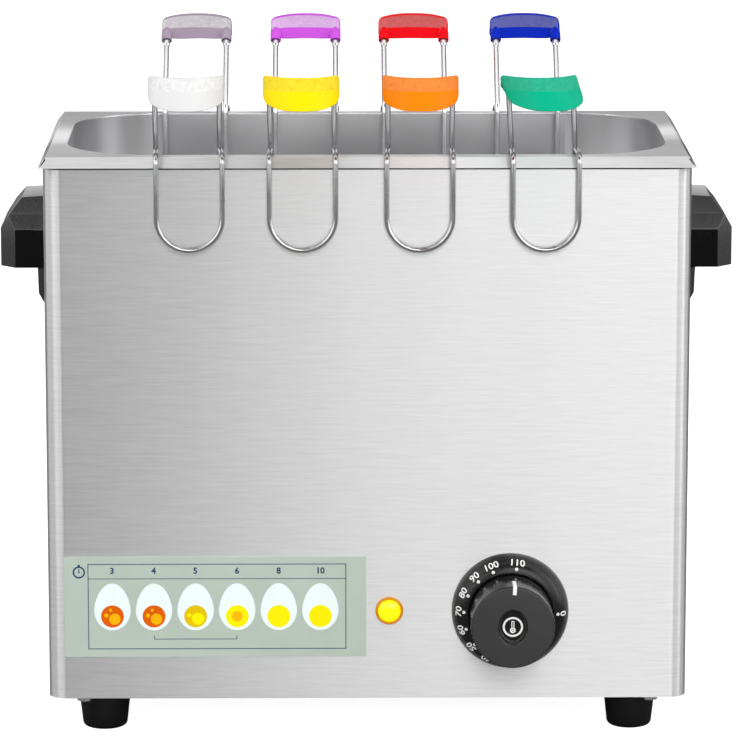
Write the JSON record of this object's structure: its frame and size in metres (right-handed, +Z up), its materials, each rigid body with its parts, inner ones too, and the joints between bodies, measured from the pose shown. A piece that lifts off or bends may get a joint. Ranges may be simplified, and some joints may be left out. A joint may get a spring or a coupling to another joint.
{
  "type": "commercial egg boiler",
  "caption": "Countertop water bath for boiling eggs in lift-out wire baskets with coloured grips, set by a rotary thermostat.",
  "frame": {"origin": "on the floor under the middle of the housing", "axes": "+Z up, -Y towards the control panel, +X to the right of someone facing the panel"},
  "size_m": [0.3754, 0.2732, 0.3447],
  "materials": {
    "brushed_housing": "horizontal brushed grain",
    "tank_steel": "satin",
    "galvanised_sheet": "plain zinc coat",
    "zinc_fasteners": "bright zinc",
    "foot_rubber": "matt black",
    "heater_sheath": "dull annealed",
    "copper_bulb": "drawn copper",
    "dark_plastic": "moulded black",
    "dial_plastic": "moulded black with white numbers",
    "knob_plastic": "satin black with a white pointer",
    "badge_print": "black disc with a white thermometer sign",
    "spindle_steel": "turned steel",
    "amber_plastic": "amber rim",
    "lamp_lens": "bright yellow lens",
    "chart_print": "printed overlay",
    "handle_plastic": "smooth black moulding",
    "basket_wire": "bright stainless wire",
    "grip_white": "moulded plastic, finely textured ridge",
    "grip_yellow": "moulded plastic, finely textured ridge",
    "grip_orange": "moulded plastic, finely textured ridge",
    "grip_green": "moulded plastic, finely textured ridge",
    "grip_grey": "moulded plastic, finely textured ridge",
    "grip_purple": "moulded plastic, finely textured ridge",
    "grip_red": "moulded plastic, finely textured ridge",
    "grip_blue": "moulded plastic, finely textured ridge"
  },
  "bodies": {
    "root": {"housing_front": "brushed_housing", "housing_rear": "brushed_housing", "housing_left": "brushed_housing", "housing_right": "brushed_housing", "base_plate": "galvanised_sheet", "base_screws": "zinc_fasteners", "rubber_feet": "foot_rubber", "foot_screws": "zinc_fasteners", "rim_frame": "brushed_housing", "tank": "tank_steel", "heating_element": "heater_sheath", "heater_clamp": "galvanised_sheet", "clamp_studs": "zinc_fasteners", "safety_cutout": "dark_plastic", "thermostat_body": "galvanised_sheet", "thermostat_bulb": "copper_bulb", "dial_ring": "dial_plastic", "lamp_body": "amber_plastic", "lamp_lens": "lamp_lens", "lamp_nut": "dark_plastic", "chart_label": "chart_print", "cable_gland": "dark_plastic", "gland_locknut": "dark_plastic", "terminal_block": "dark_plastic", "earth_terminal": "zinc_fasteners", "side_handle_left": "handle_plastic", "side_handle_right": "handle_plastic", "handle_screws": "zinc_fasteners"},
    "knob": {"control_knob": "knob_plastic", "knob_badge": "badge_print", "thermostat_spindle": "spindle_steel"},
    "basket_white": {"frame_white": "basket_wire", "hook_white": "basket_wire", "grip_white": "grip_white"},
    "basket_yellow": {"frame_yellow": "basket_wire", "hook_yellow": "basket_wire", "grip_yellow": "grip_yellow"},
    "basket_orange": {"frame_orange": "basket_wire", "hook_orange": "basket_wire", "grip_orange": "grip_orange"},
    "basket_green": {"frame_green": "basket_wire", "hook_green": "basket_wire", "grip_green": "grip_green"},
    "basket_grey": {"frame_grey": "basket_wire", "hook_grey": "basket_wire", "grip_grey": "grip_grey"},
    "basket_purple": {"frame_purple": "basket_wire", "hook_purple": "basket_wire", "grip_purple": "grip_purple"},
    "basket_red": {"frame_red": "basket_wire", "hook_red": "basket_wire", "grip_red": "grip_red"},
    "basket_blue": {"frame_blue": "basket_wire", "hook_blue": "basket_wire", "grip_blue": "grip_blue"}
  },
  "joints": [
    {"name": "knob_turn", "type": "hinge", "parent": "root", "child": "knob", "pos_m": [0.0724, -0.086, 0.0665], "axis": [0, 1, 0], "range_deg": [-268, 8]},
    {"name": "lift_white", "type": "slide", "parent": "root", "child": "basket_white", "axis": [0, 0, 1], "range_m": [0, 0.15]},
    {"name": "lift_yellow", "type": "slide", "parent": "root", "child": "basket_yellow", "axis": [0, 0, 1], "range_m": [0, 0.15]},
    {"name": "lift_orange", "type": "slide", "parent": "root", "child": "basket_orange", "axis": [0, 0, 1], "range_m": [0, 0.15]},
    {"name": "lift_green", "type": "slide", "parent": "root", "child": "basket_green", "axis": [0, 0, 1], "range_m": [0, 0.15]},
    {"name": "lift_grey", "type": "slide", "parent": "root", "child": "basket_grey", "axis": [0, 0, 1], "range_m": [0, 0.15]},
    {"name": "lift_purple", "type": "slide", "parent": "root", "child": "basket_purple", "axis": [0, 0, 1], "range_m": [0, 0.15]},
    {"name": "lift_red", "type": "slide", "parent": "root", "child": "basket_red", "axis": [0, 0, 1], "range_m": [0, 0.15]},
    {"name": "lift_blue", "type": "slide", "parent": "root", "child": "basket_blue", "axis": [0, 0, 1], "range_m": [0, 0.15]}
  ]
}
